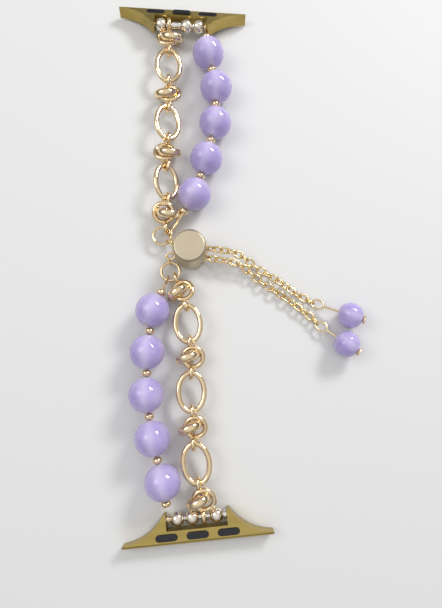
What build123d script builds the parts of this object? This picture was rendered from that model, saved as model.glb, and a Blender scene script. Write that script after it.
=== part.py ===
from build123d import *
from math import asin, cos, pi, radians, sin, sqrt
import os

# Sizes in millimetres. The origin is on the table under the sliding stopper, +Y runs to the
# upper adapter and +Z is up.

# Round beads and the small metal balls between them
bead_diameter = 8.0
bead_bore = 1.1
bead_count = 5
bead_sides = 14
bead_bands = 7
spacer_diameter = 2.3
spacer_length = 1.6
thread_gap = 0.05
wire_diameter = 0.7
merge_distance = 1e-6
ball_sides = 10
ball_bands = 4

# Distance from the last bead to the cross bar, which sets the length of each half
last_bead_to_bar = 8.6

# Knot and oval links of the heavy chain
chain_height = 3.05
end_height = 2.0
oval_width = 7.2
oval_wire = 1.2
knot_radius = 2.3
flat_ring_wire = 1.1
flat_ring_tilt = 18.0
upright_ring_wire = 1.4
ring_offset = 1.2
loop_radius = 1.25
loop_wire = 1.0
knot_count = 4
ring_sides = 12
oval_sides = 18
wire_sides = 6
loop_sides = 8
loop_wire_sides = 4

# Jump ring at the inner end of each half, and the eye that carries the bead strand
end_ring_radius = 2.2
end_ring_wire = 0.7
eye_radius = 0.95
eye_wire = 0.5

# Adapter that slides into the watch case
adapter_width = 33.3
adapter_depth = 6.4
adapter_thickness = 3.0
adapter_rounding = 0.9
ear_gap = 13.5
ear_tip = 0.5
ear_depth = 1.3
tip_height = 0.7
flank_width_share = 0.45
flank_height_share = 0.36
pad_length = 4.9
pad_spacing = 6.8
pad_width_share = 0.53
pad_edge_share = 0.57
pad_fit = 0.06
pad_proud = 0.1
pad_end_flats = 6
button_proud = 0.4

# Cross bar with its balls, held between the adapter's ears
bar_diameter = 1.2
bar_seat = 0.8
bar_fit = 0.04
bar_ball_diameter = 3.2
bar_ball_gap = 0.5
bar_ball_bands = 5
sleeve_diameter = 1.8
end_loop_radius = 0.9
end_loop_wire = 0.35

# Sliding stopper: metal drum with a soft core that grips the two fine chains
stopper_diameter = 8.0
stopper_height = 7.8
stopper_rim = 0.5
stopper_sides = 28
channel_sides = 12
channel_height = 2.8
stopper_turn = -8.0
slot_width = 5.4
slot_height = 3.0
core_fit = 0.05
core_inset = 0.35
channel_radius = 1.12
channel_spacing = 2.44

# Fine chain, each link rolled a quarter turn from the last
link_length = 2.7
link_width = 2.05
link_wire = 0.46
link_play = 0.06
end_play = 0.12
upright_roll = 90.0
link_sides = 6
link_wire_sides = 4

# Routes of the two fine chains beyond the straight run through the stopper
straight_start = 4.6
straight_end = 10.5
upper_ring_turn = 315.0
lower_ring_turn = 95.0
tail_a_lead = ()
tail_b_lead = ((-5.6, -1.5, 2.4),)
tail_a_end = ((12.9, -1.5, 2.3), (15.3, -3.4, 1.3), (17.7, -5.0, 1.08), (20.4, -6.5, 1.08),
              (22.8, -8.2, 1.08), (24.8, -9.8, 1.08), (26.6, -11.0, 1.08), (28.6, -11.9, 1.08),
              (30.6, -13.3, 1.08))
tail_b_end = ((12.4, -3.4, 2.3), (14.6, -5.4, 1.3), (16.9, -7.3, 1.08), (19.3, -8.9, 1.08),
              (22.0, -10.5, 1.08), (24.6, -12.6, 1.08), (27.0, -14.4, 1.08), (29.2, -16.2, 1.08),
              (30.6, -18.0, 1.08))

# Pendant beads at the ends of the fine chains
pendant_diameter = 6.0
pendant_a_place = (37.7, -15.7, 3.0)
pendant_b_place = (36.6, -22.4, 3.0)
pin_wire = 0.5
pin_head_diameter = 2.1
pin_head_thickness = 0.45
pin_eye_radius = 1.05
pin_eye_length = 1.5

# Where each half starts, on the wire of its end ring, which way it runs and how it lies
upper_start = (-6.1, 6.0)
upper_turn = 0.0
upper_ring_lean = -25.0
upper_headings = (0.0, 1.0, -1.0, 0.0, 1.0, -1.0, 0.0)
upper_rolls = (38.0, 28.0, 14.0)
upper_upright_tilt = 115.0
upper_upright_turn = -6.0
upper_sides = (1, 1, -1, 1)
upper_eye_turn = 70.0
upper_first_bead = (6.95, 7.9)
upper_bead_headings = (17.0, 13.0, 1.0, -12.0)
upper_bar_height = 3.25
upper_adapter_turn = -4.0
upper_adapter_tilt = -19.0
upper_adapter_offset = 2.9
upper_ball_places = (-2.2, 4.4, 7.55)
upper_sleeve = (0.7, 2.9)
upper_end_loop = 9.4

lower_start = (-3.5, -6.64)
lower_turn = 184.0
lower_ring_lean = 34.0
lower_headings = (16.0, 4.0, -2.0, -2.0, 0.0, 4.0, 5.0)
lower_rolls = (6.0, -4.0, 5.0)
lower_upright_tilt = 90.0
lower_upright_turn = 18.0
lower_sides = (1, 1, 1, 1)
lower_eye_turn = 26.0
lower_first_bead = (5.7, 7.6)
lower_bead_headings = (10.0, 4.0, -5.5, -11.0)
lower_bar_height = 1.9
lower_adapter_turn = 1.6
lower_adapter_tilt = 0.0
lower_adapter_offset = 1.6
lower_ball_places = (-2.8, 2.6, 5.9)
lower_sleeve = (-5.1, -4.4)
lower_end_loop = 7.85

bead_radius = bead_diameter / 2
bead_pitch = bead_diameter + spacer_length + 2 * thread_gap
bead_run = bead_pitch * sum(cos(radians(heading)) for heading in upper_bead_headings)
strand_length = upper_first_bead[1] + bead_run + last_bead_to_bar
knot_span = 2 * (knot_radius + loop_radius)
oval_span = (strand_length - knot_count * knot_span) / (knot_count - 1)
adapter_rim = adapter_depth - ear_depth - bar_ball_diameter / 2 - bar_ball_gap
pad_width = adapter_rim * pad_width_share
pad_edge = adapter_rim * pad_edge_share
link_pitch = link_length - 2 * link_wire - link_play
link_overhang = (link_length - link_wire - link_pitch) / 2

upper_half = dict(start=upper_start, turn=upper_turn, ring_lean=upper_ring_lean,
                  headings=upper_headings, rolls=upper_rolls, upright_tilt=upper_upright_tilt,
                  upright_turn=upper_upright_turn, sides=upper_sides, eye_turn=upper_eye_turn,
                  first_bead=upper_first_bead, bead_headings=upper_bead_headings,
                  bar_height=upper_bar_height,
                  adapter_turn=upper_adapter_turn, adapter_tilt=upper_adapter_tilt,
                  adapter_offset=upper_adapter_offset, ball_places=upper_ball_places,
                  sleeve=upper_sleeve, end_loop=upper_end_loop, ring_turn=upper_ring_turn)
lower_half = dict(start=lower_start, turn=lower_turn, ring_lean=lower_ring_lean,
                  headings=lower_headings, rolls=lower_rolls, upright_tilt=lower_upright_tilt,
                  upright_turn=lower_upright_turn, sides=lower_sides, eye_turn=lower_eye_turn,
                  first_bead=lower_first_bead, bead_headings=lower_bead_headings,
                  bar_height=lower_bar_height,
                  adapter_turn=lower_adapter_turn, adapter_tilt=lower_adapter_tilt,
                  adapter_offset=lower_adapter_offset, ball_places=lower_ball_places,
                  sleeve=lower_sleeve, end_loop=lower_end_loop, ring_turn=lower_ring_turn)


def closed_solid(outlines):
    # Solid from flat outlines that meet edge to edge
    faces = [Face(Wire.make_polygon(outline, close=True)) for outline in outlines]
    return Solid(Shell(faces))


def closed_rod(path, rod_radius, sides):
    # Wire bent round a closed path in the XY plane, mitred at each point
    rings = []
    for before, here, after in zip(path[-1:] + path[:-1], path, path[1:] + path[:1]):
        onward = (after - here).normalized()
        heading = ((here - before).normalized() + onward).normalized()
        outward = Vector(heading.Y, -heading.X, 0) * (1 / heading.dot(onward))
        angles = [2 * pi * (side + 1 / 2) / sides for side in range(sides)]
        rings.append([here + outward * (rod_radius * cos(a)) + Vector(0, 0, rod_radius * sin(a))
                      for a in angles])
    outlines = []
    for ring, following in zip(rings, rings[1:] + rings[:1]):
        for side in range(sides):
            beside = (side + 1) % sides
            outlines.append((ring[side], ring[beside], following[beside], following[side]))
    return closed_solid(outlines)


def oval_path(half_width, half_length, count):
    # Corner points of an oval, long way along Y, with a point at each end
    turns = [2 * pi * step / count for step in range(count)]
    return [Vector(half_width * cos(turn), half_length * sin(turn), 0) for turn in turns]


def wire_ring(radius, wire, count, sides):
    return closed_rod(oval_path(radius, radius, count), wire / 2, sides)


def turned(profile, sides):
    # Flat-sided turning about Z of a closed profile of (radius, height) points
    outlines = []
    for (radius_a, height_a), (radius_b, height_b) in zip(profile, profile[1:] + profile[:1]):
        for side in range(sides):
            corners = []
            for radius, height, step in ((radius_a, height_a, side), (radius_b, height_b, side),
                                         (radius_b, height_b, side + 1), (radius_a, height_a, side + 1)):
                turn = 2 * pi * (step % sides) / sides
                corner = Vector(radius * cos(turn), radius * sin(turn), height)
                if all((corner - known).length > merge_distance for known in corners):
                    corners.append(corner)
            if len(corners) > 2:
                outlines.append(corners)
    return closed_solid(outlines)


def ball_profile(radius, hole, squash, bands):
    # Half outline of a ball bored along Z, from its upper hole edge to its lower one
    start = asin(hole / radius)
    turns = [start + (pi - 2 * start) * step / bands for step in range(bands + 1)]
    return [(radius * sin(turn), radius * squash * cos(turn)) for turn in turns]


def bored_ball(diameter, bore, length, sides, bands):
    radius = diameter / 2
    squash = length / 2 / (radius * cos(asin(bore / diameter)))
    return turned(ball_profile(radius, bore / 2, squash, bands), sides)


def aim(start, end):
    # Place whose Z axis points from start to end
    return Plane(origin=start, z_dir=Vector(end) - Vector(start)).location


def spacer_with_wire(wire_length):
    # Metal ball crimped on the wire, whose free length runs along +Z through the next bead
    ball = ball_profile(spacer_diameter / 2, wire_diameter / 2, spacer_length / spacer_diameter, ball_bands)
    tip = spacer_length / 2 + wire_length
    top = [(0, tip), (wire_diameter / 2, tip)]
    base = [(wire_diameter / 2, -spacer_length / 2), (0, -spacer_length / 2)]
    if wire_length == 0:
        top = [(0, spacer_length / 2)]
    return turned(top + ball + base, ball_sides)


def knot_link(tilt, upright_tilt, upright_turn, side, drops, rolls):
    # Flat ring with an upright ring through it, and a small upright loop at each end.
    # A drop lowers the loop of that end to the height of the end ring or the bar, and a
    # roll turns it square to the wire that runs through it.
    flat = wire_ring(knot_radius, flat_ring_wire, ring_sides, wire_sides)
    upright = wire_ring(knot_radius, upright_ring_wire, ring_sides, wire_sides)
    loop = wire_ring(loop_radius, loop_wire, loop_sides, wire_sides)
    offset = side * ring_offset / 2
    knot = flat.moved(Location((-offset, 0, 0), (tilt, 0, 0)))
    yaw = Location((offset, 0, 0), (0, 0, upright_turn))
    knot = knot + upright.moved(yaw * Location((0, 0, 0), (upright_tilt, 0, 0)))
    for direction, drop, roll in zip((-1, 1), drops, rolls):
        place = Location((0, direction * knot_span / 2, -drop), (0, 90 + roll, 0))
        knot = knot + loop.moved(place)
    return knot


def oval_link():
    path = oval_path((oval_width - oval_wire) / 2, oval_span / 2, oval_sides)
    return closed_rod(path, oval_wire / 2, wire_sides)


def bead():
    length = 2 * sqrt(bead_radius ** 2 - (bead_bore / 2) ** 2)
    return bored_ball(bead_diameter, bead_bore, length, bead_sides, bead_bands)


def bead_places(first, headings):
    # Centres of the beads beside the chain, in the frame of one half
    places = [Vector(first[0], first[1], bead_radius)]
    for heading in headings:
        turn = radians(heading)
        places.append(places[-1] + Vector(sin(turn), cos(turn), 0) * bead_pitch)
    return places


def ring_centre(lean):
    # Middle of the end ring, whose wire passes the start of the half
    turn = radians(lean)
    return Vector(end_ring_radius * sin(turn), -end_ring_radius * cos(turn), end_height)


def eye_place(half):
    # Point on the end ring's wire where the bead strand hangs
    turn = radians(half["eye_turn"])
    return ring_centre(half["ring_lean"]) + Vector(sin(turn), cos(turn), 0) * end_ring_radius


def eye_pin(eye, first):
    # Wire eye round the end ring, with a shank through the first small ball and bead
    reach = first - eye
    along = reach.normalized()
    loop = wire_ring(eye_radius, eye_wire, loop_sides, loop_wire_sides)
    upright = Plane(origin=eye, x_dir=along, z_dir=along.cross(Vector(0, 0, 1)))
    shank_start = eye + along * eye_radius
    shank_length = reach.length + bead_radius - eye_radius
    rod = [(0, 0), (wire_diameter / 2, 0), (wire_diameter / 2, shank_length), (0, shank_length)]
    return loop.moved(upright.location) + turned(rod, ball_sides).moved(aim(shank_start, first))


def bead_strand(eye, places, loop_point):
    # Beads and small balls by node name, in the frame of one half
    pieces = {}
    half_step = bead_pitch / 2
    starts = [eye] + places[:-1]
    for number, (start, place) in enumerate(zip(starts, places)):
        along = (place - start).normalized()
        pieces[f"bead_{number + 1}"] = bead().moved(aim(place, place + along))
        seat = place - along * half_step
        if number == 0:
            bore = wire_diameter + 2 * thread_gap
            ring = bored_ball(spacer_diameter, bore, spacer_length, ball_sides, ball_bands)
            pieces["small_ball_1"] = ring.moved(aim(seat, place))
        else:
            pieces[f"small_ball_{number + 1}"] = spacer_with_wire(bead_diameter).moved(aim(seat, place))
    onward = (loop_point - places[-1]).normalized()
    seat = places[-1] + onward * half_step
    pieces[f"small_ball_{bead_count + 1}"] = spacer_with_wire(0).moved(aim(seat, loop_point))
    pieces["eye_pin"] = eye_pin(eye, places[0])
    return pieces


def link_places(headings):
    # Place of each knot and oval in turn, and the point at the bar, in the frame of one half
    joint = Vector(0, 0, chain_height)
    places = []
    for number, heading in enumerate(headings):
        span = oval_span if number % 2 else knot_span
        turn = radians(heading)
        onward = Vector(-sin(turn), cos(turn), 0) * span
        middle = joint + onward / 2
        places.append(Location((middle.X, middle.Y, middle.Z), (0, 0, heading)))
        joint = joint + onward
    return places, joint


def heavy_chain(headings, rolls, upright_tilt, upright_turn, sides, bar_height):
    # Knots and ovals in turn along the strand, in the frame of one half
    pieces = {}
    places = link_places(headings)[0]
    for number, side in enumerate(sides):
        first = number == 0
        last = number == knot_count - 1
        tilt = flat_ring_tilt if first else -flat_ring_tilt
        drops = (chain_height - end_height if first else 0, chain_height - bar_height if last else 0)
        near_rolls = (0 if first else rolls[number - 1], 0 if last else rolls[number])
        link = knot_link(tilt, upright_tilt, side * upright_turn, side, drops, near_rolls)
        pieces[f"knot_link_{number + 1}"] = link.moved(places[2 * number])
        if not last:
            place = places[2 * number + 1] * Location((0, 0, 0), (0, rolls[number], 0))
            pieces[f"oval_link_{number + 1}"] = oval_link().moved(place)
    return pieces


def adapter_outline():
    # Right half outline of the adapter seen from above, the bar at y = 0
    outer = adapter_depth - ear_depth
    half = adapter_width / 2
    ear_inside = ear_gap / 2
    ear_outside = ear_inside + ear_tip
    flank_x = ear_outside + (half - ear_outside) * flank_width_share
    flank_y = -ear_depth + adapter_depth * (1 - flank_height_share)
    tip_y = outer - tip_height
    lines = Polyline((0, outer), (half, outer), (half, tip_y))
    flank = Spline((half, tip_y), (flank_x, flank_y), (ear_outside, -ear_depth))
    inner = Polyline((ear_outside, -ear_depth), (ear_inside, -ear_depth),
                     (ear_inside, outer - adapter_rim), (0, outer - adapter_rim), (0, outer))
    right = make_face(lines + flank + inner)
    return right + mirror(right, about=Plane.YZ)


def pad_shape(length, width, height):
    # Upright block with rounded ends, each end of a few flats
    outline = []
    for direction in (1, -1):
        for step in range(pad_end_flats + 1):
            turn = pi * (step / pad_end_flats - 1 / 2)
            outline.append(Vector(length / 2 - width / 2 + width / 2 * cos(turn), width / 2 * sin(turn)) * direction)
    return extrude(make_face(Polyline(outline, close=True)), height / 2, both=True)


def adapter():
    # Metal adapter with its rounded outer edge, pad slots and the seats of the bar
    outer = adapter_depth - ear_depth
    body = extrude(adapter_outline(), adapter_thickness / 2, both=True)
    edges = body.edges().filter_by(Axis.X).group_by(Axis.Y)[-1]
    body = fillet(edges, adapter_rounding)
    for number in (-1, 0, 1):
        place = Location((number * pad_spacing, outer - pad_edge, 0))
        slot = pad_shape(pad_length, pad_width, 2 * adapter_thickness)
        body = body - slot.moved(place)
    radius = bar_diameter / 2 + bar_fit
    reach = ear_gap / 2 + bar_seat
    seat = turned([(0, -reach), (radius, -reach), (radius, reach), (0, reach)], 2 * wire_sides)
    return body - seat.moved(Location((0, 0, 0), (0, 90, 0)))


def adapter_pads():
    # Two fixed pads and the middle lock button in the adapter's slots
    place_y = adapter_depth - ear_depth - pad_edge
    length = pad_length - 2 * pad_fit
    width = pad_width - 2 * pad_fit
    fixed = pad_shape(length, width, adapter_thickness + 2 * pad_proud)
    pads = [fixed.moved(Location((side * pad_spacing, place_y, 0))) for side in (-1, 1)]
    button = pad_shape(length, width, adapter_thickness)
    button = chamfer(button.edges().group_by(Axis.Z)[-1], pad_proud)
    return Compound(pads), button.moved(Location((0, place_y, button_proud)))


def bar_set(offset, ball_places, sleeve_ends, loop_place):
    # Bar along X, and the balls, sleeve and wire loop threaded on it
    reach = ear_gap / 2 + bar_seat - bar_fit
    rod = [(0, -reach), (bar_diameter / 2, -reach), (bar_diameter / 2, reach), (0, reach)]
    across = Location((0, 0, 0), (0, 90, 0))
    bar = turned(rod, 2 * wire_sides).moved(across)
    bore = bar_diameter + 2 * bar_fit
    ball_length = sqrt(bar_ball_diameter ** 2 - bore ** 2)
    ball = bored_ball(bar_ball_diameter, bore, ball_length, ball_sides, bar_ball_bands)
    threaded = [ball.moved(Location((place - offset, 0, 0)) * across) for place in ball_places]
    loop = wire_ring(end_loop_radius, end_loop_wire, ball_sides, loop_wire_sides)
    threaded.append(loop.moved(Location((loop_place - offset, 0, 0)) * across))
    start, end = sleeve_ends
    wall = [(bore / 2, start), (sleeve_diameter / 2, start), (sleeve_diameter / 2, end), (bore / 2, end)]
    threaded.append(turned(wall, ball_sides).moved(Location((-offset, 0, 0)) * across))
    return bar, Compound(threaded)


def band_half(name, half):
    # All pieces of one half, named and moved to their place
    frame = Location((half["start"][0], half["start"][1], 0), (0, 0, half["turn"]))
    bar_frame = bar_place(half)
    loop_point = (bar_frame * Location((half["end_loop"], 0, 0))).position
    beads = bead_places(half["first_bead"], half["bead_headings"])
    chain = heavy_chain(half["headings"], half["rolls"], half["upright_tilt"], half["upright_turn"],
                        half["sides"], half["bar_height"])
    ring = wire_ring(end_ring_radius, end_ring_wire, ring_sides, wire_sides)
    centre = ring_centre(half["ring_lean"])
    chain["end_ring"] = ring.moved(Location((centre.X, centre.Y, centre.Z)))
    pieces = {}
    for group in (bead_strand(eye_place(half), beads, loop_point), chain):
        for piece, shape in group.items():
            pieces[f"{name}_{piece}"] = shape.moved(frame)
    seat = frame * bar_frame * Location((half["adapter_offset"], 0, 0))
    pads, button = adapter_pads()
    bar, threaded = bar_set(half["adapter_offset"], half["ball_places"], half["sleeve"], half["end_loop"])
    pieces[f"{name}_adapter"] = adapter().moved(seat)
    pieces[f"{name}_pads"] = pads.moved(seat)
    pieces[f"{name}_lock_button"] = button.moved(seat)
    pieces[f"{name}_bar"] = bar.moved(seat)
    pieces[f"{name}_bar_balls"] = threaded.moved(seat)
    return pieces


def bar_place(half):
    # Place on the bar where the chain ends, X along the bar, Z out of the adapter's face
    end = link_places(half["headings"])[1]
    flat = Location((end.X, end.Y, half["bar_height"]), (0, 0, half["adapter_turn"]))
    return flat * Location((0, 0, 0), (half["adapter_tilt"], 0, 0))


def stopper_frame():
    # Place in the stopper at the height of the fine chains, with X along them
    return Location((0, 0, channel_height), (0, 0, stopper_turn))


def stopper():
    # Metal drum with a cross slot, and the soft core in it with a channel for each chain
    radius = stopper_diameter / 2
    edge = [(radius - stopper_rim, 0), (radius, stopper_rim), (radius, stopper_height - stopper_rim),
            (radius - stopper_rim, stopper_height)]
    drum = turned([(0, 0)] + edge + [(0, stopper_height)], stopper_sides)
    drum = drum.moved(Location((0, 0, -channel_height)))
    reach = 2 * stopper_diameter
    slot = extrude(Plane.YZ * SlotOverall(slot_width, slot_height), reach, both=True)
    shell = drum - slot
    plug_outline = SlotOverall(slot_width - 2 * core_fit, slot_height - 2 * core_fit)
    plug = extrude(Plane.YZ * plug_outline, reach, both=True)
    inside = radius - core_inset
    round_edge = turned([(0, -slot_height), (inside, -slot_height), (inside, slot_height), (0, slot_height)],
                        stopper_sides)
    core = plug & round_edge
    rod = [(0, -reach), (channel_radius, -reach), (channel_radius, reach), (0, reach)]
    for side in (-1, 1):
        channel = turned(rod, channel_sides).moved(Location((0, 0, 0), (0, 90, 0)))
        core = core - channel.moved(Location((0, side * channel_spacing / 2, 0)))
    return shell.moved(stopper_frame()), core.moved(stopper_frame())


def ring_wire_point(half):
    # Point on the wire of a half's end ring, at an angle from +X seen from above
    centre = ring_centre(half["ring_lean"])
    frame = Location((half["start"][0], half["start"][1], 0), (0, 0, half["turn"]))
    middle = (frame * Location((centre.X, centre.Y, centre.Z))).position
    angle = radians(half["ring_turn"])
    return middle + Vector(cos(angle), sin(angle), 0) * end_ring_radius


def chain_route(ring_point, lead_points, side, end):
    # Whole route of one fine chain: its lead from the ring, the straight run and the tail
    middle = stopper_frame()
    lead = [ring_point] + [Vector(point) for point in lead_points]
    run = []
    for along in (-straight_start, straight_end):
        place = middle * Location((along, side * channel_spacing / 2, 0))
        run.append(place.position)
    tail = [Vector(point) for point in end]
    route = lead + run + tail
    seat = end_ring_wire / 2 + link_wire / 2 + end_play - link_overhang
    route[0] = ring_point + (ring_point - route[1]).normalized() * seat
    return route


def chain_joints(points):
    # Joints of the links, one link pitch apart along straight runs between the route's points
    joints = [points[0]]
    leg = 1
    while leg < len(points):
        here = joints[-1]
        target = points[leg]
        if (target - here).length < link_pitch:
            leg = leg + 1
            continue
        behind = points[leg - 1]
        run = (target - behind).normalized()
        nearest = behind + run * max(run.dot(here - behind), 0)
        off = (here - nearest).length
        step = sqrt(max(link_pitch ** 2 - off ** 2, 0))
        joints.append(here + (nearest + run * step - here).normalized() * link_pitch)
    return joints


def chain_link():
    half_width = (link_width - link_wire) / 2
    half_length = (link_length - link_wire) / 2
    return closed_rod(oval_path(half_width, half_length, link_sides), link_wire / 2, link_wire_sides)


def fine_chain(points):
    # Links in turn, each a quarter roll from the last, upright at both ends of the chain
    joints = chain_joints(points)
    link = chain_link()
    links = []
    last = len(joints) - 2
    twist = upright_roll * (2 - last % 2)
    for number, (near, far) in enumerate(zip(joints, joints[1:])):
        along = (far - near).normalized()
        flat = along.cross(Vector(0, 0, 1)).normalized()
        roll = upright_roll * (number + 1) + twist * number / last
        frame = Plane(origin=(near + far) / 2, x_dir=flat, z_dir=flat.cross(along)).location
        links.append(link.moved(frame * Location((0, 0, 0), (0, roll, 0))))
    return Compound(links)


def hang_point(joints):
    # Middle of the pin's eye wire where it sits in the end of the last link
    seat = pin_wire / 2 + link_wire / 2 + end_play - link_overhang
    return joints[-1] + (joints[-2] - joints[-1]).normalized() * seat


def pendant(hang, place):
    # Round bead on a headed pin, whose eye hangs in the last link of the chain
    along = (Vector(place) - hang).normalized()
    flat = along.cross(Vector(0, 0, 1)).normalized()
    eye = closed_rod(oval_path(pin_eye_radius, pin_eye_length, loop_sides), pin_wire / 2, loop_wire_sides)
    eye_frame = Plane(origin=hang + along * pin_eye_length, x_dir=flat, z_dir=flat.cross(along))
    shank_start = hang + along * (2 * pin_eye_length)
    reach = (Vector(place) - shank_start).length + pendant_diameter / 2
    head = reach + thread_gap
    top = head + pin_head_thickness
    radius = pin_wire / 2
    cap = pin_head_diameter / 2
    rod = [(0, 0), (radius, 0), (radius, head), (cap, head), (cap, top), (0, top)]
    pin = eye.moved(eye_frame.location) + turned(rod, ball_sides).moved(aim(shank_start, place))
    bore = pin_wire + 2 * thread_gap
    ball_length = sqrt(pendant_diameter ** 2 - bore ** 2)
    ball = bored_ball(pendant_diameter, bore, ball_length, bead_sides, bead_bands)
    return ball.moved(aim(place, Vector(place) + along)), pin


def all_pieces():
    pieces = band_half("upper", upper_half)
    pieces.update(band_half("lower", lower_half))
    pieces["stopper_drum"], pieces["stopper_core"] = stopper()
    ring_a = ring_wire_point(upper_half)
    ring_b = ring_wire_point(lower_half)
    tails = (("a", ring_a, tail_a_lead, 1, tail_a_end, pendant_a_place),
             ("b", ring_b, tail_b_lead, -1, tail_b_end, pendant_b_place))
    for name, ring_point, lead, side, end, place in tails:
        points = chain_route(ring_point, lead, side, end)
        hang = hang_point(chain_joints(points))
        pieces[f"fine_chain_{name}"] = fine_chain(points)
        ball, pin = pendant(hang, place)
        pieces[f"pendant_bead_{name}"] = ball
        pieces[f"pendant_pin_{name}"] = pin
    return pieces


os.makedirs("parts", exist_ok=True)
for node, shape in all_pieces().items():
    export_step(shape, f"parts/{node}.step")
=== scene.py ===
import bmesh
import bpy
import numpy as np
from math import asin, cos, pi, radians, sin, sqrt
from mathutils import Matrix


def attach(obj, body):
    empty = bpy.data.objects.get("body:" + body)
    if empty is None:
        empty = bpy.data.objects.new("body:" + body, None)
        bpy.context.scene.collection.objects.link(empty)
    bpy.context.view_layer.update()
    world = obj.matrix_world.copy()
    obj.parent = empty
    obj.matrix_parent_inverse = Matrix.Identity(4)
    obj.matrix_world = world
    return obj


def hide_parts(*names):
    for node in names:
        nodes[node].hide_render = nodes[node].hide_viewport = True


# Bead watch band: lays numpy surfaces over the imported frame. Sizes are in millimetres up to
# makePiece, which turns them into metres. Angles are in degrees.
millimetre = 0.001
weld = {"made": 1e-7, "copied": 1e-6}   # points closer than this, in metres, become one
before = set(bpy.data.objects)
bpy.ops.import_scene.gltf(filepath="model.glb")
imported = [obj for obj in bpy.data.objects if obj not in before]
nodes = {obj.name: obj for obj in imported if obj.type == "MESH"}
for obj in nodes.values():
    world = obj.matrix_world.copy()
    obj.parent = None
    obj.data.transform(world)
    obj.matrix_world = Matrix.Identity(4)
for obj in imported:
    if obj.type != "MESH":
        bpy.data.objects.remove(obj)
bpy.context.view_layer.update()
scene = bpy.context.scene
print("frame loaded:", len(nodes), "nodes")

# Places are 4 by 4 matrices; a point p goes to M p


def shift(x, y, z):
    place = np.eye(4)
    place[:3, 3] = (x, y, z)
    return place


def turn(axis, degrees):
    # Rotation by the angle about X, Y or Z: cos and sin in the plane of the other two axes
    angle = radians(degrees)
    place = np.eye(4)
    a, b = {"x": (1, 2), "y": (2, 0), "z": (0, 1)}[axis]
    place[a, a] = place[b, b] = cos(angle)
    place[b, a] = sin(angle)
    place[a, b] = -sin(angle)
    return place


def unit(v):
    return np.asarray(v, float) / np.linalg.norm(v)


def axesAt(origin, xAxis, zAxis):
    place = np.eye(4)
    place[:3, 0] = unit(xAxis)
    place[:3, 2] = unit(zAxis)
    place[:3, 1] = np.cross(place[:3, 2], place[:3, 0])
    place[:3, 3] = origin
    return place


def aimed(start, toward):
    # Z points from start to toward, X lies flat
    along = unit(np.subtract(toward, start))
    return axesAt(start, np.cross(along, (0, 0, 1)), along)


# Surfaces are (grid of points, whether its rows close, whether its columns close)


def moved(surface, place):
    return surface[0] @ place[:3, :3].T + place[:3, 3], surface[1], surface[2]


def ringSurface(radius, wire, along=56, around=18, breadth=1.0):
    # Torus, its section b times as broad as thick: ((R + r cos v) cos u, (R + r cos v) sin u, b r sin v)
    u = np.linspace(0, 2 * pi, along, endpoint=False)[:, None]
    v = np.linspace(0, 2 * pi, around, endpoint=False)[None, :]
    reach = radius + wire / 2 * np.cos(v)
    points = np.stack([reach * np.cos(u), reach * np.sin(u), breadth * wire / 2 * np.sin(v) + 0 * u], -1)
    return points, True, True


def ovalSurface(a, b, wire, along, around, fullness=2.0):
    # Rod round |x/a|^n + |y/b|^n = 1, n its fullness: the path's point plus r cos v outwards plus
    # r sin v up
    u = np.linspace(0, 2 * pi, along, endpoint=False)
    power = 2 / fullness
    x = a * np.sign(np.cos(u)) * np.abs(np.cos(u)) ** power
    y = b * np.sign(np.sin(u)) * np.abs(np.sin(u)) ** power
    dx = np.roll(x, -1) - np.roll(x, 1)
    dy = np.roll(y, -1) - np.roll(y, 1)
    size = np.hypot(dx, dy)
    v = np.linspace(0, 2 * pi, around, endpoint=False)[None, :]
    reach = wire / 2 * np.cos(v)
    points = np.stack([x[:, None] + reach * (dy / size)[:, None], y[:, None] - reach * (dx / size)[:, None],
                       wire / 2 * np.sin(v) + 0 * x[:, None]], -1)
    return points, True, True


def turnedSurface(profile, around, closed=False):
    # Turning about Z: (r cos u, r sin u, h) for each (r, h) of the profile
    u = np.linspace(0, 2 * pi, around, endpoint=False)[None, :]
    r = profile[:, 0][:, None]
    points = np.stack([r * np.cos(u), r * np.sin(u), profile[:, 1][:, None] + 0 * u], -1)
    return points, closed, True


def softened(corners, radius, steps=6, closed=False):
    # Rounds each corner B between A and C: (1-s)^2 A + 2 s (1-s) B + s^2 C
    corners = np.asarray(corners, float)
    s = np.linspace(0, 1, steps)[:, None]
    rows = []
    count = len(corners)
    mostShare = 1 / 2.2   # of a side that one corner may take
    for i in range(count):
        here = corners[i]
        if not closed and i in (0, count - 1):
            rows.append(here[None, :])
            continue
        before, after = corners[i - 1], corners[(i + 1) % count]
        inward = before - here
        onward = after - here
        cutIn = min(radius, np.linalg.norm(inward) * mostShare)
        cutOut = min(radius, np.linalg.norm(onward) * mostShare)
        a = here + unit(inward) * cutIn
        c = here + unit(onward) * cutOut
        rows.append((1 - s) ** 2 * a + 2 * s * (1 - s) * here + s ** 2 * c)
    return np.concatenate(rows)


def boredBall(diameter, bore, lip, bands, around):
    # Ball of radius R bored along Z: (R sin t, R cos t) between the bore's edges, then the bore's
    # wall, with a rounded lip at each edge
    radius = diameter / 2
    start = asin(bore / diameter) + lip / radius
    t = np.linspace(start, pi - start, bands)
    arc = np.stack([radius * np.sin(t), radius * np.cos(t)], -1)
    edge = radius * cos(asin(bore / diameter))
    lipDepth = 4 * lip
    upper = softened([arc[0], (bore / 2, edge), (bore / 2, edge - lipDepth)], lip)[::-1]
    lower = upper[::-1] * (1, -1)
    return turnedSurface(np.concatenate([arc, lower, upper]), around, closed=True)


def rodSurface(length, radius, around=16):
    # Rod from the origin along Z, its ends rounded by a third of its radius
    profile = softened([(0, 0), (radius, 0), (radius, length), (0, length)], radius / 3)
    return turnedSurface(profile, around)


def sleeveSurface(inside, outside, start, end, edge, around=40):
    # Tube along Z between two heights: the turned rectangle of its wall, with rounded edges
    wall = softened([(inside, start), (outside, start), (outside, end), (inside, end)], edge, closed=True)
    return turnedSurface(wall, around, closed=True)


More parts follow.
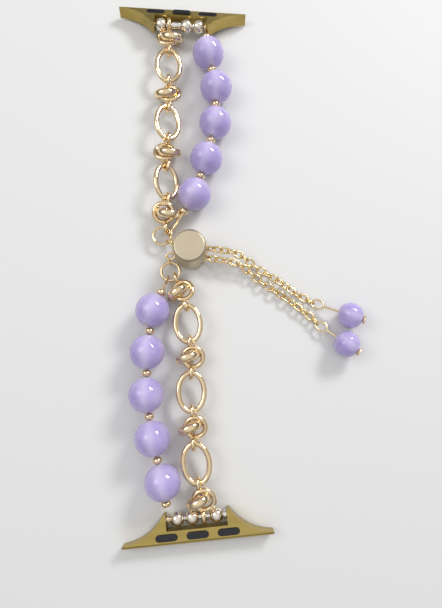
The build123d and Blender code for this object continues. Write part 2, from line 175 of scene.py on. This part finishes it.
def makePiece(name, parts, body, slotName, *replaced, boreLight=None):
    # Joins (surface, material) pairs into one object in metres that rides on a body; the optional value for
    # each point is painted light through a bead's bore, which the finish reads
    points, faces, finishes, materials = [], [], [], []
    count = 0
    for (grid, closeRows, closeColumns), material in parts:
        rows, columns = grid.shape[:2]
        i = np.arange(rows if closeRows else rows - 1)[:, None]
        j = np.arange(columns if closeColumns else columns - 1)[None, :]
        nextRow, nextColumn = (i + 1) % rows, (j + 1) % columns
        quads = np.stack([i * columns + j, nextRow * columns + j, nextRow * columns + nextColumn,
                          i * columns + nextColumn], -1).reshape(-1, 4)
        points.append(grid.reshape(-1, 3))
        faces.append(quads + count)
        count += rows * columns
        if material not in materials:
            materials.append(material)
        finishes.append(np.full(len(quads), materials.index(material)))
    mesh = bpy.data.meshes.new(name)
    mesh.from_pydata((np.concatenate(points) * millimetre).tolist(), [], np.concatenate(faces).tolist())
    mesh.polygons.foreach_set("material_index", np.concatenate(finishes).astype(np.int32))
    if boreLight is not None:
        mesh.attributes.new("boreLight", "FLOAT", "POINT").data.foreach_set("value", boreLight.astype(np.float32))
    work = bmesh.new()
    work.from_mesh(mesh)
    bmesh.ops.remove_doubles(work, verts=work.verts, dist=weld["made"])
    bmesh.ops.recalc_face_normals(work, faces=work.faces)
    work.to_mesh(mesh)
    work.free()
    for material in materials:
        mesh.materials.append(material)
    mesh.polygons.foreach_set("use_smooth", np.ones(len(mesh.polygons), bool))
    piece = bpy.data.objects.new(name, mesh)
    scene.collection.objects.link(piece)
    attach(piece, body)
    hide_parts(*replaced)


rounding = {"flat": 1, "smooth": 40, "edge": 32, "segments": 3}


def softenedCopy(node, name, material, body, width):
    # Copy of a frame node with its triangles merged into flats and its edges rounded by a bevel
    mesh = nodes[node].data.copy()
    mesh.name = name
    work = bmesh.new()
    work.from_mesh(mesh)
    bmesh.ops.remove_doubles(work, verts=work.verts, dist=weld["copied"])
    bmesh.ops.dissolve_limit(work, angle_limit=radians(rounding["flat"]), verts=work.verts,
                             edges=work.edges)
    work.to_mesh(mesh)
    work.free()
    mesh.materials.clear()
    mesh.materials.append(material)
    mesh.polygons.foreach_set("material_index", np.zeros(len(mesh.polygons), np.int32))
    mesh.polygons.foreach_set("use_smooth", np.ones(len(mesh.polygons), bool))
    mesh.set_sharp_from_angle(angle=radians(rounding["smooth"]))
    piece = bpy.data.objects.new(name, mesh)
    scene.collection.objects.link(piece)
    bevel = piece.modifiers.new("rounding", "BEVEL")
    bevel.width = width * millimetre
    bevel.segments = rounding["segments"]
    bevel.limit_method = "ANGLE"
    bevel.angle_limit = radians(rounding["edge"])
    bevel.harden_normals = True
    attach(piece, body)
    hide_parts(node)


def newMaterial(name):
    material = bpy.data.materials.new(name)
    material.use_nodes = True
    tree = material.node_tree
    shader = tree.nodes["Principled BSDF"]
    place = tree.nodes.new("ShaderNodeTexCoord")
    return material, tree, shader, place.outputs["Object"]


def noise(tree, vector, scale, detail, stretch=(1, 1, 1)):
    mapping = tree.nodes.new("ShaderNodeMapping")
    mapping.inputs["Scale"].default_value = stretch
    tree.links.new(vector, mapping.inputs["Vector"])
    node = tree.nodes.new("ShaderNodeTexNoise")
    node.inputs["Scale"].default_value = scale
    node.inputs["Detail"].default_value = detail
    tree.links.new(mapping.outputs["Vector"], node.inputs["Vector"])
    return node.outputs["Fac"]


def ramp(tree, value, stops):
    node = tree.nodes.new("ShaderNodeValToRGB")
    stripes = node.color_ramp
    while len(stripes.elements) < len(stops):
        stripes.elements.new(0.5)
    for element, (place, colour) in zip(stripes.elements, stops):
        element.position = place
        element.color = (*colour, 1)
    tree.links.new(value, node.inputs["Fac"])
    return node.outputs["Color"]


def between(tree, value, low, high):
    node = tree.nodes.new("ShaderNodeMapRange")
    node.inputs["To Min"].default_value = low
    node.inputs["To Max"].default_value = high
    tree.links.new(value, node.inputs["Value"])
    return node.outputs["Result"]


def bump(tree, shader, height, strength, distance):
    node = tree.nodes.new("ShaderNodeBump")
    node.inputs["Strength"].default_value = strength
    node.inputs["Distance"].default_value = distance
    tree.links.new(height, node.inputs["Height"])
    tree.links.new(node.outputs["Normal"], shader.inputs["Normal"])


bumpDepth = 0.00002   # metres
cloudLow, cloudHigh = 0.3, 0.7   # noise values at which a drifting colour reaches its ends
metalGrain = 2400


def driftingColour(tree, shader, value, low, high):
    # Runs from the low colour to the high one between the two cloud values
    colour = ramp(tree, value, [(cloudLow, low), (cloudHigh, high)])
    tree.links.new(colour, shader.inputs["Base Color"])


def metalFinish(name, dark, pale, roughness, cloudScale, stretch=(1, 1, 1), grain=0.0):
    # Metal whose colour and roughness drift with one noise; a fine grain is an option
    material, tree, shader, place = newMaterial(name)
    shader.inputs["Metallic"].default_value = 1.0
    cloud = noise(tree, place, cloudScale, detail=3, stretch=stretch)
    driftingColour(tree, shader, cloud, dark, pale)
    tree.links.new(between(tree, cloud, *roughness), shader.inputs["Roughness"])
    if grain:
        height = noise(tree, place, metalGrain, detail=2, stretch=stretch)
        bump(tree, shader, height, grain, bumpDepth)
    return material


def lilacFinish():
    # Milky glass: a share of the cloud plus a pale band of painted light over the bore runs a ramp from
    # lilac to near white
    finish = {"deep": (0.44, 0.37, 0.68), "milk": (0.52, 0.45, 0.72), "pale": (0.72, 0.67, 0.86),
              "cloudScale": 240, "cloudShare": 0.55, "stops": (0.18, 0.40, 0.95), "roughness": 0.1,
              "ior": 1.54, "depth": 0.0022, "depthShare": 0.9, "tint": (1.0, 0.8, 1.1),
              "rippleScale": 500, "ripple": 0.04}
    material, tree, shader, place = newMaterial("milkyLilac")
    cloud = noise(tree, place, finish["cloudScale"], detail=3)
    # Painted light through the bore, read for each point
    boreLight = tree.nodes.new("ShaderNodeAttribute")
    boreLight.attribute_name = "boreLight"
    total = tree.nodes.new("ShaderNodeMath")
    total.operation = "MULTIPLY_ADD"
    total.inputs[1].default_value = finish["cloudShare"]
    tree.links.new(cloud, total.inputs[0])
    tree.links.new(boreLight.outputs["Fac"], total.inputs[2])
    stops = list(zip(finish["stops"], (finish["deep"], finish["milk"], finish["pale"])))
    tree.links.new(ramp(tree, total.outputs["Value"], stops), shader.inputs["Base Color"])
    shader.inputs["Roughness"].default_value = finish["roughness"]
    shader.inputs["IOR"].default_value = finish["ior"]
    shader.inputs["Subsurface Weight"].default_value = finish["depthShare"]
    shader.inputs["Subsurface Radius"].default_value = finish["tint"]
    shader.inputs["Subsurface Scale"].default_value = finish["depth"]
    height = noise(tree, place, finish["rippleScale"], detail=2)
    bump(tree, shader, height, finish["ripple"], bumpDepth)
    return material


def blackFinish():
    # Black rubber whose colour and roughness drift with a fine noise
    finish = {"dark": (0.004, 0.005, 0.008), "light": (0.012, 0.013, 0.018), "roughness": (0.16, 0.28),
              "scale": 1800}
    material, tree, shader, place = newMaterial("blackPad")
    grain = noise(tree, place, finish["scale"], detail=3)
    driftingColour(tree, shader, grain, finish["dark"], finish["light"])
    tree.links.new(between(tree, grain, *finish["roughness"]), shader.inputs["Roughness"])
    return material


def softCoreFinish():
    # Cloudy silicone that lets a little light in
    finish = {"clear": (0.62, 0.60, 0.56), "cloudy": (0.78, 0.76, 0.72), "scale": 700, "roughness": 0.45,
              "depthShare": 0.3, "depth": 0.001}
    material, tree, shader, place = newMaterial("softCore")
    cloud = noise(tree, place, finish["scale"], detail=2)
    driftingColour(tree, shader, cloud, finish["clear"], finish["cloudy"])
    shader.inputs["Roughness"].default_value = finish["roughness"]
    shader.inputs["Subsurface Weight"].default_value = finish["depthShare"]
    shader.inputs["Subsurface Scale"].default_value = finish["depth"]
    return material


gold = metalFinish("paleGold", dark=(0.84, 0.64, 0.38), pale=(0.92, 0.75, 0.50),
                   roughness=(0.08, 0.14), cloudScale=180)
linkGold = metalFinish("linkGold", dark=(0.80, 0.60, 0.30), pale=(0.90, 0.71, 0.40),
                       roughness=(0.16, 0.26), cloudScale=300)
champagne = metalFinish("satinChampagne", dark=(0.62, 0.53, 0.38), pale=(0.66, 0.57, 0.42),
                        roughness=(0.34, 0.40), cloudScale=160, grain=0.08)
satin = metalFinish("satinDarkGold", dark=(0.42, 0.31, 0.09), pale=(0.54, 0.41, 0.14),
                    roughness=(0.30, 0.42), cloudScale=500, stretch=(0.08, 1, 1), grain=0.15)
paleBall = metalFinish("paleBall", dark=(0.86, 0.78, 0.66), pale=(0.92, 0.86, 0.76),
                       roughness=(0.10, 0.18), cloudScale=300)
silver = metalFinish("brightSilver", dark=(0.74, 0.72, 0.68), pale=(0.88, 0.87, 0.85),
                     roughness=(0.12, 0.2), cloudScale=500)
lilac = lilacFinish()
black = blackFinish()
softCore = softCoreFinish()
print("finishes ready")

# Layout of one half: X across, Y along to the adapter, Z up
strand = {"bead": 8.0, "bore": 1.1, "ball": 2.3, "ballLength": 1.6, "ballBore": 0.8, "lastBore": 0.5,
          "ballFullness": 1.06, "gap": 0.05, "wire": 0.7, "toBar": 8.6}
# Lip of the bore, and width and strengths of the painted light band over it
glass = {"lip": 0.15, "boreLightWidth": 0.26, "strandBoreLight": 0.34, "pendantBoreLight": 0.2}
knot = {"radius": 2.3, "flatWire": 1.2, "flatTilt": 18.0, "uprightWire": 1.44, "breadth": 1.4,
        "offset": 1.2, "loopRadius": 1.25, "loopWire": 1.0, "height": 3.05}
oval = {"width": 7.2, "wire": 1.3}
endRing = {"radius": 2.2, "wire": 0.7, "height": 2.0}
eye = {"radius": 0.95, "wire": 0.5}
bar = {"wire": 1.2, "play": 0.08, "ball": 3.2, "sleeve": 1.8, "sleeveEdge": 0.12, "loopRadius": 0.9,
       "loopWire": 0.35}
edges = {"adapter": 0.16, "pads": 0.1, "button": 0.14, "bar": 0.08, "drum": 0.12}
halves = {
    "upper": {"start": (-6.1, 6.0), "turn": 0.0, "ringLean": -25.0, "headings": (0, 1, -1, 0, 1, -1, 0),
              "rolls": (38.0, 28.0, 14.0), "uprightTilt": 115.0, "uprightTurn": -6.0,
              "sides": (1, 1, -1, 1), "eyeTurn": 70.0, "firstBead": (6.95, 7.9),
              "beadHeadings": (17.0, 13.0, 1.0, -12.0), "barHeight": 3.25, "adapterTurn": -4.0,
              "adapterTilt": -19.0, "balls": (-2.2, 4.4, 7.55), "sleeve": (0.7, 2.9), "endLoop": 9.4,
              "wireTurn": 315.0},
    "lower": {"start": (-3.5, -6.64), "turn": 184.0, "ringLean": 34.0, "headings": (16, 4, -2, -2, 0, 4, 5),
              "rolls": (6.0, -4.0, 5.0), "uprightTilt": 90.0, "uprightTurn": 18.0,
              "sides": (1, 1, 1, 1), "eyeTurn": 26.0, "firstBead": (5.7, 7.6),
              "beadHeadings": (10.0, 4.0, -5.5, -11.0), "barHeight": 1.9, "adapterTurn": 1.6,
              "adapterTilt": 0.0, "balls": (-2.8, 2.6, 5.9), "sleeve": (-5.1, -4.4), "endLoop": 7.85,
              "wireTurn": 95.0}}

beadPitch = strand["bead"] + strand["ballLength"] + 2 * strand["gap"]
beadRun = beadPitch * sum(cos(radians(heading)) for heading in halves["upper"]["beadHeadings"])
halfLength = halves["upper"]["firstBead"][1] + beadRun + strand["toBar"]
knotCount = len(halves["upper"]["sides"])
knotSpan = 2 * (knot["radius"] + knot["loopRadius"])
ovalSpan = (halfLength - knotCount * knotSpan) / (knotCount - 1)


def halfPlace(half):
    return shift(*half["start"], 0) @ turn("z", half["turn"])


def ringCentre(half):
    # The end ring's wire passes the half's start, so its middle lies one radius away
    lean = radians(half["ringLean"])
    return np.array((endRing["radius"] * sin(lean), -endRing["radius"] * cos(lean), endRing["height"]))


def linkPlaces(half):
    # Middle of each knot and oval in turn, and the point where the last one meets the bar
    joint = np.array((0, 0, knot["height"]))
    places = []
    for i, heading in enumerate(half["headings"]):
        span = ovalSpan if i % 2 else knotSpan
        onward = np.array((-sin(radians(heading)), cos(radians(heading)), 0)) * span
        places.append(shift(*(joint + onward / 2)) @ turn("z", heading))
        joint = joint + onward
    return places, joint


def barPlace(half):
    x, y, _ = linkPlaces(half)[1]
    flat = shift(x, y, half["barHeight"]) @ turn("z", half["adapterTurn"])
    return flat @ turn("x", half["adapterTilt"])


def beadPlaces(half):
    # Each bead's centre is the last one's plus the pitch along its heading
    places = [np.array((*half["firstBead"], strand["bead"] / 2))]
    for heading in half["beadHeadings"]:
        places.append(places[-1] + np.array((sin(radians(heading)), cos(radians(heading)), 0)) * beadPitch)
    return places


def smallBall(bore):
    # Flattened ball with a bore: the ball's profile squeezed along its axis
    grid, rows, columns = boredBall(strand["ball"], bore, lip=0.07, bands=20, around=32)
    squeeze = strand["ballLength"] / strand["ball"] * strand["ballFullness"]
    return grid * (1, 1, squeeze), rows, columns


def paintedBoreLight(surface, radius, width, strength):
    # Pale band of painted light over the bore, standing in for light seen through the glass, strongest
    # where the flat distance x from it is 0: s exp(-(x / w)^2)
    x = surface[0][..., 0].ravel() / radius
    return strength * np.exp(-(x / width) ** 2)


def makeBead(name, place, diameter, bore, body, node, strength):
    ball = boredBall(diameter, bore, lip=glass["lip"], bands=56, around=64)
    # Painted light: a pale band over the bore, standing in for light seen through the glass
    boreLight = paintedBoreLight(ball, diameter / 2, glass["boreLightWidth"], strength)
    makePiece(name, [(moved(ball, place), lilac)], body, "lilac_glass", node, boreLight=boreLight)


def makeStrand(name, half):
    # Beads with a small ball and a wire each, the last ball, and the eye pin that starts the strand
    place = halfPlace(half)
    places = beadPlaces(half)
    angle = radians(half["eyeTurn"])
    hang = ringCentre(half) + np.array((sin(angle), cos(angle), 0)) * endRing["radius"]
    loopPoint = (barPlace(half) @ shift(half["endLoop"], 0, 0))[:3, 3]
    halfStep = beadPitch / 2
    starts = [hang] + places[:-1]
    for i, (start, centre) in enumerate(zip(starts, places)):
        along = unit(centre - start)
        body = f"{name}_strand_{i + 1}"
        toward = place @ aimed(centre, centre + along)
        makeBead(f"{name}_beadGlass_{i + 1}", toward, strand["bead"], strand["bore"], body,
                 f"{name}_bead_{i + 1}", glass["strandBoreLight"])
        seat = place @ aimed(centre - along * halfStep, centre)
        parts = [(moved(smallBall(strand["ballBore"]), seat), gold)]
        if i > 0:
            wire = rodSurface(strand["bead"], strand["wire"] / 2)
            parts.append((moved(wire, seat @ shift(0, 0, strand["ballLength"] / 2)), silver))
        makePiece(f"{name}_spacer_{i + 1}", parts, body, "polished_gold", f"{name}_small_ball_{i + 1}")
    last = places[-1]
    seat = place @ aimed(last + unit(loopPoint - last) * halfStep, loopPoint)
    ball = moved(smallBall(strand["lastBore"]), seat)
    makePiece(f"{name}_spacer_6", [(ball, gold)], f"{name}_strand_6", "polished_gold",
              f"{name}_small_ball_6")
    reach = places[0] - hang
    along = unit(reach)
    loop = ringSurface(eye["radius"], eye["wire"], along=36, around=12)
    loop = moved(loop, place @ axesAt(hang, along, np.cross(along, (0, 0, 1))))
    shank = rodSurface(np.linalg.norm(reach) + strand["bead"] / 2 - eye["radius"], strand["wire"] / 2)
    shank = moved(shank, place @ aimed(hang + along * eye["radius"], places[0]))
    makePiece(f"{name}_eyePin", [(loop, gold), (shank, gold)], f"{name}_strand_1", "polished_gold",
              f"{name}_eye_pin")


def makeKnot(name, half, i, centre):
    # A tilted ring, an upright ring hooked through it, and one upright loop at each end
    side = half["sides"][i]
    first, last = i == 0, i == knotCount - 1
    tilt = knot["flatTilt"] if first else -knot["flatTilt"]
    flat = centre @ shift(-side * knot["offset"] / 2, 0, 0) @ turn("x", tilt)
    upright = centre @ shift(side * knot["offset"] / 2, 0, 0) @ turn("z", side * half["uprightTurn"])
    upright = upright @ turn("x", half["uprightTilt"])
    tilted = ringSurface(knot["radius"], knot["flatWire"])
    broad = ringSurface(knot["radius"], knot["uprightWire"], breadth=knot["breadth"])
    parts = [(moved(tilted, flat), gold), (moved(broad, upright), gold)]
    ringDrop = knot["height"] - endRing["height"] if first else 0
    barDrop = knot["height"] - half["barHeight"] if last else 0
    drops = (ringDrop, barDrop)
    rolls = (0 if first else half["rolls"][i - 1], 0 if last else half["rolls"][i])
    for direction, drop, roll in zip((-1, 1), drops, rolls):
        seat = centre @ shift(0, direction * knotSpan / 2, -drop) @ turn("y", 90 + roll)
        loop = ringSurface(knot["loopRadius"], knot["loopWire"], along=40, around=14)
        parts.append((moved(loop, seat), gold))
    node = f"{name}_knot_link_{i + 1}"
    makePiece(f"{name}_knot_{i + 1}", parts, node, "polished_gold", node)


def makeHeavyChain(name, half):
    # Knots, the ovals between them and the end ring
    place = halfPlace(half)
    places = linkPlaces(half)[0]
    for i in range(knotCount):
        makeKnot(name, half, i, place @ places[2 * i])
    for i, roll in enumerate(half["rolls"]):
        seat = place @ places[2 * i + 1] @ turn("y", roll)
        halfWidth = (oval["width"] - oval["wire"]) / 2
        shape = ovalSurface(halfWidth, ovalSpan / 2, oval["wire"], along=96, around=20)
        node = f"{name}_oval_link_{i + 1}"
        makePiece(f"{name}_oval_{i + 1}", [(moved(shape, seat), gold)], node, "polished_gold", node)
    ring = ringSurface(endRing["radius"], endRing["wire"], around=16)
    ring = moved(ring, place @ shift(*ringCentre(half)))
    node = f"{name}_end_ring"
    makePiece(f"{name}_jumpRing", [(ring, gold)], node, "polished_gold", node)


def makeAdapter(name, half):
    # The frame's adapter, pads, button and bar with softened edges, and what is threaded on the bar
    body = f"{name}_adapter"
    softenedCopy(body, f"{name}_adapterBody", satin, body, edges["adapter"])
    softenedCopy(f"{name}_pads", f"{name}_gripPads", black, body, edges["pads"])
    button = f"{name}_lock_button"
    softenedCopy(button, f"{name}_lockButton", black, button, edges["button"])
    softenedCopy(f"{name}_bar", f"{name}_crossBar", silver, body, edges["bar"])
    place = halfPlace(half) @ barPlace(half)
    across = turn("y", 90)
    bore = bar["wire"] + bar["play"]
    parts = []
    for x in half["balls"]:
        ball = boredBall(bar["ball"], bore, lip=0.1, bands=28, around=40)
        parts.append((moved(ball, place @ shift(x, 0, 0) @ across), paleBall))
    loop = ringSurface(bar["loopRadius"], bar["loopWire"], along=36, around=10)
    parts.append((moved(loop, place @ shift(half["endLoop"], 0, 0) @ across), gold))
    sleeve = sleeveSurface(bore / 2, bar["sleeve"] / 2, *half["sleeve"], bar["sleeveEdge"])
    parts.append((moved(sleeve, place @ across), silver))
    makePiece(f"{name}_barBalls", parts, body, "polished_gold", f"{name}_bar_balls")


for name, half in halves.items():
    makeStrand(name, half)
    makeHeavyChain(name, half)
    makeAdapter(name, half)
    print(name, "half made")

# Sliding stopper: the drum with softened edges, and its soft core from the frame
softenedCopy("stopper_drum", "stopperDrum", champagne, "stopper", edges["drum"])
for holder in nodes["stopper_core"].material_slots:
    holder.material = softCore

# Fine chains and pendants. The routes repeat the part's, in millimetres.
link = {"length": 2.7, "width": 2.05, "wire": 0.46, "play": 0.06, "endPlay": 0.12, "fullness": 2.4}
run = {"start": -4.6, "end": 10.5, "spacing": 2.44, "height": 2.8, "turn": -8.0}
tails = {
    "a": {"half": "upper", "lead": [], "side": 1, "bead": (37.7, -15.7, 3.0),
          "end": [(12.9, -1.5, 2.3), (15.3, -3.4, 1.3), (17.7, -5.0, 1.08), (20.4, -6.5, 1.08),
                  (22.8, -8.2, 1.08), (24.8, -9.8, 1.08), (26.6, -11.0, 1.08), (28.6, -11.9, 1.08),
                  (30.6, -13.3, 1.08)]},
    "b": {"half": "lower", "lead": [(-5.6, -1.5, 2.4)], "side": -1, "bead": (36.6, -22.4, 3.0),
          "end": [(12.4, -3.4, 2.3), (14.6, -5.4, 1.3), (16.9, -7.3, 1.08), (19.3, -8.9, 1.08),
                  (22.0, -10.5, 1.08), (24.6, -12.6, 1.08), (27.0, -14.4, 1.08), (29.2, -16.2, 1.08),
                  (30.6, -18.0, 1.08)]}}
pendant = {"bead": 6.0, "bore": 0.6, "wire": 0.5, "head": 2.1, "headThickness": 0.45, "headEdge": 0.12,
           "eyeRadius": 1.05, "eyeLength": 1.5}
linkPitch = link["length"] - 2 * link["wire"] - link["play"]
linkOverhang = (link["length"] - link["wire"] - linkPitch) / 2


def chainRoute(tail):
    # From the end ring's wire, through the stopper and along the tail
    half = halves[tail["half"]]
    angle = radians(half["wireTurn"])
    centre = (halfPlace(half) @ shift(*ringCentre(half)))[:3, 3]
    ring = centre + np.array((cos(angle), sin(angle), 0)) * endRing["radius"]
    middle = shift(0, 0, run["height"]) @ turn("z", run["turn"])
    points = [ring] + [np.array(p) for p in tail["lead"]]
    for x in (run["start"], run["end"]):
        points.append((middle @ shift(x, tail["side"] * run["spacing"] / 2, 0))[:3, 3])
    points += [np.array(p) for p in tail["end"]]
    seat = endRing["wire"] / 2 + link["wire"] / 2 + link["endPlay"] - linkOverhang
    points[0] = ring + unit(ring - points[1]) * seat
    return points


def chainJoints(points):
    # Joints one link pitch apart along the straight runs between the points
    joints = [points[0]]
    leg = 1
    while leg < len(points):
        here, target = joints[-1], points[leg]
        if np.linalg.norm(target - here) < linkPitch:
            leg += 1
            continue
        behind = points[leg - 1]
        along = unit(target - behind)
        nearest = behind + along * max(along @ (here - behind), 0)
        step = sqrt(max(linkPitch ** 2 - np.linalg.norm(here - nearest) ** 2, 0))
        joints.append(here + unit(nearest + along * step - here) * linkPitch)
    return joints


def makeFineChain(name, joints):
    # Each link a quarter turn from the last, with the rest of the twist spread along the chain
    halfWidth, halfReach = (link["width"] - link["wire"]) / 2, (link["length"] - link["wire"]) / 2
    shape = ovalSurface(halfWidth, halfReach, link["wire"], along=24, around=8, fullness=link["fullness"])
    last = len(joints) - 2
    twist = 90 * (2 - last % 2)   # brings the last link upright too
    parts = []
    for i, (near, far) in enumerate(zip(joints, joints[1:])):
        along = unit(far - near)
        flat = np.cross(along, (0, 0, 1))
        place = axesAt((near + far) / 2, flat, np.cross(flat, along))
        parts.append((moved(shape, place @ turn("y", 90 * (i + 1) + twist * i / last)), linkGold))
    makePiece(f"fineChain_{name}", parts, f"fine_chain_{name}", "polished_gold", f"fine_chain_{name}")


def makePendant(name, joints, centre):
    # Bead on a headed pin whose oval eye hangs in the last link
    seat = pendant["wire"] / 2 + link["wire"] / 2 + link["endPlay"] - linkOverhang
    hang = joints[-1] + unit(joints[-2] - joints[-1]) * seat
    along = unit(centre - hang)
    flat = unit(np.cross(along, (0, 0, 1)))
    loop = ovalSurface(pendant["eyeRadius"], pendant["eyeLength"], pendant["wire"], along=36, around=12)
    loop = moved(loop, axesAt(hang + along * pendant["eyeLength"], flat, np.cross(flat, along)))
    start = hang + along * 2 * pendant["eyeLength"]
    head = np.linalg.norm(centre - start) + pendant["bead"] / 2 + strand["gap"]
    wire, cap, top = pendant["wire"] / 2, pendant["head"] / 2, head + pendant["headThickness"]
    corners = [(0, 0), (wire, 0), (wire, head), (cap, head), (cap, top), (0, top)]
    shank = turnedSurface(softened(corners, pendant["headEdge"]), around=32)
    body = f"pendant_{name}"
    makePiece(f"headPin_{name}", [(loop, gold), (moved(shank, aimed(start, centre)), gold)], body,
              "polished_gold", f"pendant_pin_{name}")
    makeBead(f"pendantGlass_{name}", aimed(centre, centre + along), pendant["bead"], pendant["bore"], body,
             f"pendant_bead_{name}", glass["pendantBoreLight"])


for name, tail in tails.items():
    joints = chainJoints(chainRoute(tail))
    makeFineChain(name, joints)
    makePendant(name, joints, np.array(tail["bead"]))
print("stopper, fine chains and pendants made")

studio = {"floor": 0.74, "floorReach": 2.0, "floorRoughness": 0.7, "sky": 0.84, "horizon": 0.10,
          "skyStart": 0.05, "skyEnd": 0.95}
lamps = {"window": {"spot": (0.32, 0.40, 0.34), "size": (0.16, 0.12), "power": 1.7},
         "pane": {"spot": (0.42, 0.33, 0.34), "size": (0.07, 0.10), "power": 0.5},
         "fill": {"spot": (-0.35, 0.10, 0.45), "size": (0.30, 0.30), "power": 0.75}}


def makeFloor():
    # Pale square under the object
    mesh = bpy.data.meshes.new("floor")
    reach = studio["floorReach"]
    corners = [(-reach, -reach, 0), (reach, -reach, 0), (reach, reach, 0), (-reach, reach, 0)]
    mesh.from_pydata(corners, [], [(0, 1, 2, 3)])
    floor = bpy.data.objects.new("floor", mesh)
    scene.collection.objects.link(floor)
    material, _, shader, _ = newMaterial("paleFloor")
    level = studio["floor"]
    shader.inputs["Base Color"].default_value = (level, level, level, 1)
    shader.inputs["Roughness"].default_value = studio["floorRoughness"]
    mesh.materials.append(material)


def makeSky():
    # Grey at the horizon, brighter overhead: the direction's height runs the ramp
    world = bpy.data.worlds.new("studio")
    scene.world = world
    world.use_nodes = True
    tree = world.node_tree
    direction = tree.nodes.new("ShaderNodeTexCoord")
    split = tree.nodes.new("ShaderNodeSeparateXYZ")
    tree.links.new(direction.outputs["Generated"], split.inputs["Vector"])
    low, high = studio["horizon"], studio["sky"]
    stops = [(studio["skyStart"], (low, low, low)), (studio["skyEnd"], (high, high, high))]
    colour = ramp(tree, split.outputs["Z"], stops)
    tree.links.new(colour, tree.nodes["Background"].inputs["Color"])


def makeLamp(name, lamp):
    # Area lamp aimed at the origin; it shines along its own -Z, so X and Z are turned over
    data = bpy.data.lights.new(name, "AREA")
    data.shape = "RECTANGLE"
    data.size, data.size_y = lamp["size"]
    data.energy = lamp["power"]
    light = bpy.data.objects.new(name, data)
    place = aimed(lamp["spot"], (0, 0, 0))
    place[:3, 0] *= -1
    place[:3, 2] *= -1
    light.matrix_world = Matrix(place.tolist())
    scene.collection.objects.link(light)


def makeCamera():
    # Looks almost straight down, as the photograph does
    view = {"place": (0.0072957, -0.0303788, 0.11104), "tilt": 9.157, "lens": 18.33, "film": 24.0,
            "near": 0.001}
    data = bpy.data.cameras.new("camera")
    data.sensor_fit = "VERTICAL"
    data.sensor_height = view["film"]
    data.lens = view["lens"]
    data.clip_start = view["near"]
    camera = bpy.data.objects.new("camera", data)
    camera.location = view["place"]
    camera.rotation_euler = (radians(view["tilt"]), 0, 0)
    scene.collection.objects.link(camera)
    scene.camera = camera


makeFloor()
makeSky()
for name, lamp in lamps.items():
    makeLamp(name, lamp)
makeCamera()
scene.view_settings.view_transform = "Standard"
print("studio and camera ready")
